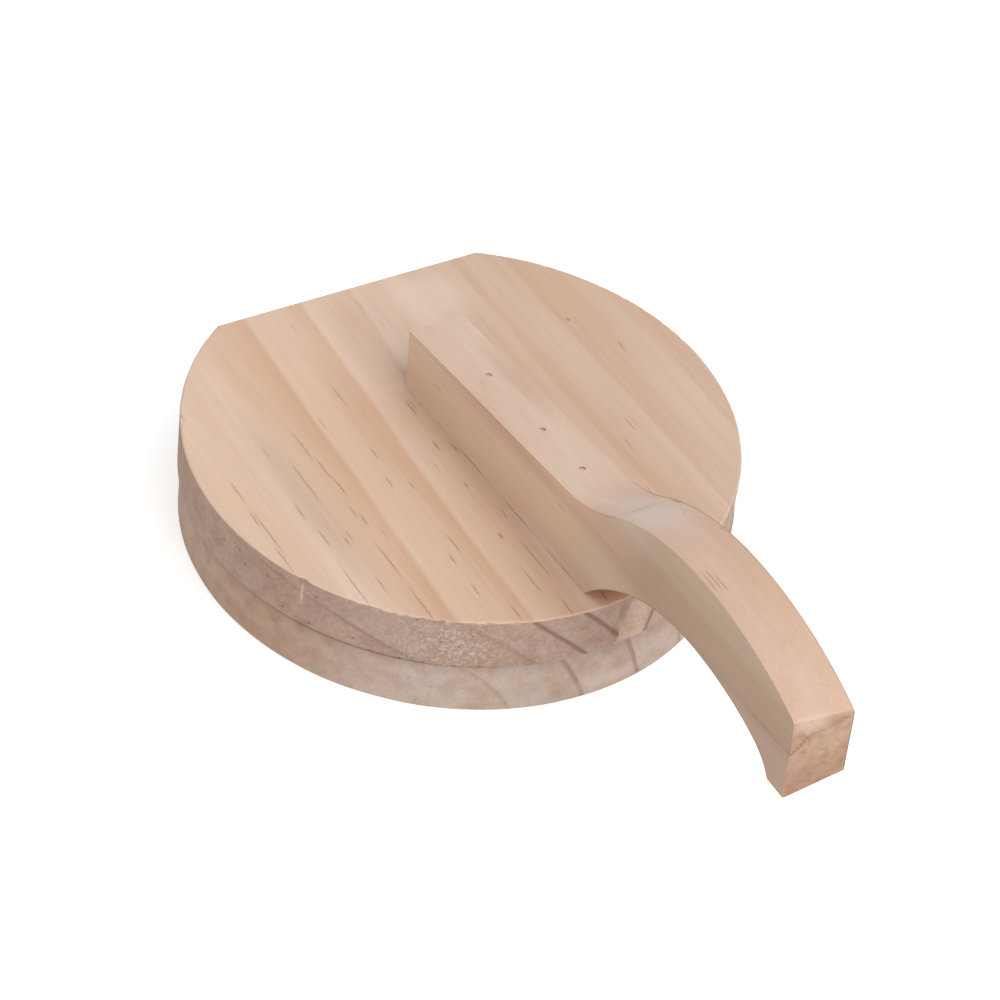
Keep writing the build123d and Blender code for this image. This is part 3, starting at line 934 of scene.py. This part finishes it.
handleWood = dict(
    lowerWood,
    staves=[
        {"pith": (12, 47.5), "yaw": 1.3, "reach": (0, 50), "rings": [
            (6, 0.2, 0), (22.4, 0.25, 0.12), (44, 0.3, 0),
        ]},
    ],
    pale="#c0a898",
    dark="#b59985",
    washes=[],
    sawnWashes=[("Z", 61, 53, "#f0eae6")],
    seam=None,
    roundSawn=False,
    greyEdge=0,
    held=(-60, -105),  # mm along Y where the part that hands hold begins, and where it is full
    gripTint="#f7f0eb",
    # painted side shade, paler at the back and darker at the grip
    sides=("#d3b7a2", "#ac9580"),
    sideBands=[  # tints by height
        (38, "#fbf9f7"), (41, "#f6f3f1"), (45, "#fafbfc"), (50, "#fbffff"), (55, "#f8fafb"),
        (60.5, "#e8e2dd"), (64, "#f3e9e7"), (68, "#f5efed"), (72, "#f3f0ec"), (75.5, "#feffff"),
        (85, "#ffffff"),
    ],
    # painted shade on faces that look down
    paintedUnderShade="#f4d8bf",
    sawnTint="#ece6e3",
    speckShade=0.08,
    blotchSize=3.0,
    blotchShade=0.06,
    stains=["#f1ecd9", "#f6ebe6"],
    patches=[
        ((9.8, 25.0, -40.0, 61.0, 5.0, 4.0), "#f3ece6", 1.0, "MULTIPLY"),
        ((5.2, -68.0, -118.0, 76.0, 13.0, 15.0), "#c0b8b4", 0.42, "MIX"),  # painted shade, greyer, in the hollow
        # painted shade along the crease across the hollow
        ((5.5, -86.0, -90.0, 73.5, 9.0, 4.0), "#f3f0ee", 1.0, "MULTIPLY"),
        ((-3.1, -150.0, -190.0, 52.0, 2.2, 11.0), "#f8e9e9", 1.0, "MULTIPLY"),  # pinker under the open ring
        ((2.5, -176.0, -184.0, 71.0, 9.0, 5.0), "#c4ab9a", 0.75, "MIX"),  # worn smooth above the ring
    ],
    scars=[
        ([pit(-2.6, -180.4, 66.5, 0.8, 5.0)], 0.5, "#d8c4b4"),  # the worn left edge, with a painted highlight along it
        # the ring in the end: open at its left, closed further right, and two small checks below it
        ([(x, -176.0, -182.0, z, across, up) for x, z, across, up in (
            (-2.0, 60.8, 0.9, 0.4), (-1.0, 61.6, 0.8, 0.5), (0.0, 62.5, 0.7, 0.6), (0.9, 63.6, 0.55, 0.8),
            (1.6, 64.8, 0.5, 0.9), (2.4, 65.9, 0.7, 0.6),
        )], 0.6, "#7d5b46"),
        ([(x, -176.0, -182.0, z, across, up) for x, z, across, up in (
            (4.4, 66.5, 2.2, 0.5), (7.4, 66.8, 2.2, 0.45), (10.3, 67.3, 1.6, 0.5), (12.5, 68.3, 1.3, 0.55),
            (14.6, 69.3, 1.4, 0.5), (10.8, 53.0, 1.0, 0.5), (12.6, 54.6, 0.9, 0.4),
        )], 0.3, "#7d5b46"),
    ],
    streaks=[
        (-1.8, -126.5, -135.5, 84.5, 0.28, 1.5), (-0.2, -126.5, -135.0, 84.5, 0.28, 1.5),
        (1.2, -128.5, -135.5, 84.5, 0.28, 1.5),
        (-4.0, -157.5, -180.0, 60.2, 2.5, 0.35),  # an open ring, along the grip's left side and into the end
        # painted contact shadow, with some glue, where it meets the board
        (-6.2, -8.0, -26.0, 36.3, 1.2, 0.4), (-5.6, -33.0, -52.0, 36.35, 1.2, 0.45),
        (-5.0, -56.0, -76.0, 36.3, 1.2, 0.35),
        (-5.5, -119.0, -124.0, 67.6, 2.0, 0.3), (-5.5, -129.0, -133.0, 67.2, 2.0, 0.3),
        (-5.5, -138.0, -144.0, 66.8, 2.0, 0.3),
    ],
)

print("materials")
lowerPine = pineMaterial("sawn_and_planed_pine_lower", lowerWood)
upperPine = pineMaterial("sawn_and_planed_pine_upper", upperWood)
handlePine = pineMaterial("sanded_pine_handle", handleWood)

print("boards")
outerRound, seamRound = boardLook["outerRound"], boardLook["seamRound"]
makeBoard("lower_board", "lower_board_wood", lowerPine, outerRound, seamRound, False)
makeBoard("upper_board", "upper_board_wood", upperPine, seamRound, outerRound, True)
print("handle")
makeHandle(handlePine)


# Metal

def metalMaterial(name, look):
    material, tree = startMaterial(name)
    own, spot = pieceCoordinates(tree)
    blotch = addNode(tree, "TexNoise", {"Vector": spot, "Scale": 1 / look["blotch"], "Detail": 3})
    rolled = addNode(tree, "Mapping", {"Vector": spot, "Scale": (1 / look["rolling"], 4, 4)})
    lines = addNode(tree, "TexNoise", {"Vector": rolled.outputs[0], "Scale": 1, "Detail": 2})
    colour = addNode(tree, "ValToRGB", {"Fac": blotch.outputs[0]}, [
        (0.35, linearColour(look["dark"])), (0.65, linearColour(look["light"])),
    ]).outputs["Color"]
    if look["recess"]:  # painted shade down in the cross of a screw's head
        depth = addNode(tree, "SeparateXYZ", {0: spot})
        shown = addNode(tree, "MapRange", {
            "Value": depth.outputs["Y"], "From Min": look["recess"] - 0.9, "From Max": look["recess"] - 0.15,
            "To Min": 0.3, "To Max": 1,
        })
        shaded = addNode(tree, "VectorMath", {0: colour, "Scale": shown.outputs[0]}, operation="SCALE")
        colour = shaded.outputs[0]
    rough = addNode(tree, "MapRange", {
        "Value": lines.outputs[0], "From Min": 0.3, "From Max": 0.7,
        "To Min": look["roughness"] - 0.07, "To Max": look["roughness"] + 0.07,
    })
    bump = addNode(tree, "Bump", {
        "Strength": 0.5, "Distance": 0.02 * metresPerMm, "Height": lines.outputs[0],
    })
    finishMaterial(tree, Base_Color=colour, Metallic=1.0, Roughness=rough.outputs[0], Normal=bump.outputs[0])
    return material


# Rolled sheet with a thin zinc plating: even, cool grey, half dull, with faint lines along the sheet
zincPlate = metalMaterial("zinc_plated_steel", {
    "blotch": 4.0, "rolling": 9.0, "dark": "#b4b6b6", "light": "#c4c6c5", "roughness": 0.38, "recess": 0,
})
# Screws plated in a drum: brighter and a little warmer than the leaf
screwSteel = metalMaterial("zinc_plated_screw_steel", {
    "blotch": 1.0, "rolling": 1.0, "dark": "#c3c2bb", "light": "#d3d2cc", "roughness": 0.3,
    "recess": boxOf("hinge_screw_lower_1")[1].y,
})
brightSteel = metalMaterial("drawn_steel", {
    "blotch": 1.5, "rolling": 6.0, "dark": "#b4b4b0", "light": "#cfcfcb", "roughness": 0.28, "recess": 0,
})
# Wire nails gone dull and brown, as bare steel does in wood
nailSteel = metalMaterial("dulled_nail_steel", {
    "blotch": 0.7, "rolling": 0.7, "dark": "#c9b09b", "light": "#e3cfbd", "roughness": 0.6, "recess": 0,
})

for name, node in frame["nodes"].items():
    if "nail" in name:
        finish = nailSteel
    elif "pin" in name:
        finish = brightSteel
    elif "screw" in name:
        finish = screwSteel
    elif "hinge" in name:
        finish = zincPlate
    else:
        continue
    for place in node.material_slots:
        place.material = finish


# Studio

studio = {
    "floorSize": 12.0,  # metres
    "floorColour": "#bebdbb",
    "skyColour": "#ffffff",
    "skyStrength": 0.98,
    "skySlope": 0.32,  # how much brighter the sky is to the right and the front than to the left
    "keyPower": 85.0,
    "keySize": 2.6,
    "keyPlace": (0.4, -2.1, 3.5),
    "floorGlow": 0.56,  # the paper is lit from below too, so that shadows on it are faint
}

bm = bmesh.new()
bmesh.ops.create_grid(bm, x_segments=1, y_segments=1, size=studio["floorSize"] / 2)
floorMesh = bpy.data.meshes.new("studio_floor")
bm.to_mesh(floorMesh)
bm.free()
paper, tree = startMaterial("matt_white_paper")
finishMaterial(
    tree, Base_Color=linearColour(studio["floorColour"]), Roughness=0.9,
    Emission_Color=linearColour(studio["skyColour"]), Emission_Strength=studio["floorGlow"],
)
floorMesh.materials.append(paper)
floor = bpy.data.objects.new("studio_floor", floorMesh)
bpy.context.scene.collection.objects.link(floor)

world = bpy.data.worlds.new("studio_sky")
world.use_nodes = True
tree = world.node_tree
tree.nodes.clear()
toFront = addNode(tree, "VectorMath", {
    0: addNode(tree, "TexCoord").outputs["Generated"], 1: (0.35, -0.94, 0),
}, operation="DOT_PRODUCT").outputs["Value"]
strength = addNode(tree, "MapRange", {
    "Value": toFront, "From Min": -1, "From Max": 1,
    "To Min": studio["skyStrength"] * (1 - studio["skySlope"]),
    "To Max": studio["skyStrength"] * (1 + studio["skySlope"]),
})
backdrop = addNode(tree, "Background", {
    "Color": linearColour(studio["skyColour"]), "Strength": strength.outputs[0],
})
addNode(tree, "OutputWorld", {"Surface": backdrop.outputs[0]})
bpy.context.scene.world = world

lamp = bpy.data.lights.new("soft_box", "AREA")
lamp.energy = studio["keyPower"]
lamp.size = studio["keySize"]
softBox = bpy.data.objects.new("soft_box", lamp)
softBox.location = studio["keyPlace"]
softBox.rotation_euler = Vector(studio["keyPlace"]).to_track_quat("Z", "Y").to_euler()
bpy.context.scene.collection.objects.link(softBox)

# Camera, where the photograph was taken from

cameraPlace = {
    "azimuth": -35.984,  # degrees
    "elevation": 42.054,
    "roll": 8.015,
    "distance": 1089.23,  # mm from the middle of the boards' underside
    "aimRight": 15.372,
    "aimUp": 3.478,
    "lens": 123.76,
}
lens = bpy.data.cameras.new("camera")
lens.lens = cameraPlace["lens"]
lens.sensor_width = 36
camera = bpy.data.objects.new("camera", lens)
camera.matrix_world = (
    Matrix.Rotation(radians(cameraPlace["azimuth"]), 4, "Z")
    @ Matrix.Rotation(radians(90 - cameraPlace["elevation"]), 4, "X")
    @ Matrix.Rotation(radians(cameraPlace["roll"]), 4, "Z")
    @ Matrix.Translation(
        Vector((cameraPlace["aimRight"], cameraPlace["aimUp"], cameraPlace["distance"])) * metresPerMm
    )
)
bpy.context.scene.collection.objects.link(camera)
bpy.context.scene.camera = camera
bpy.context.scene.view_settings.view_transform = "Standard"
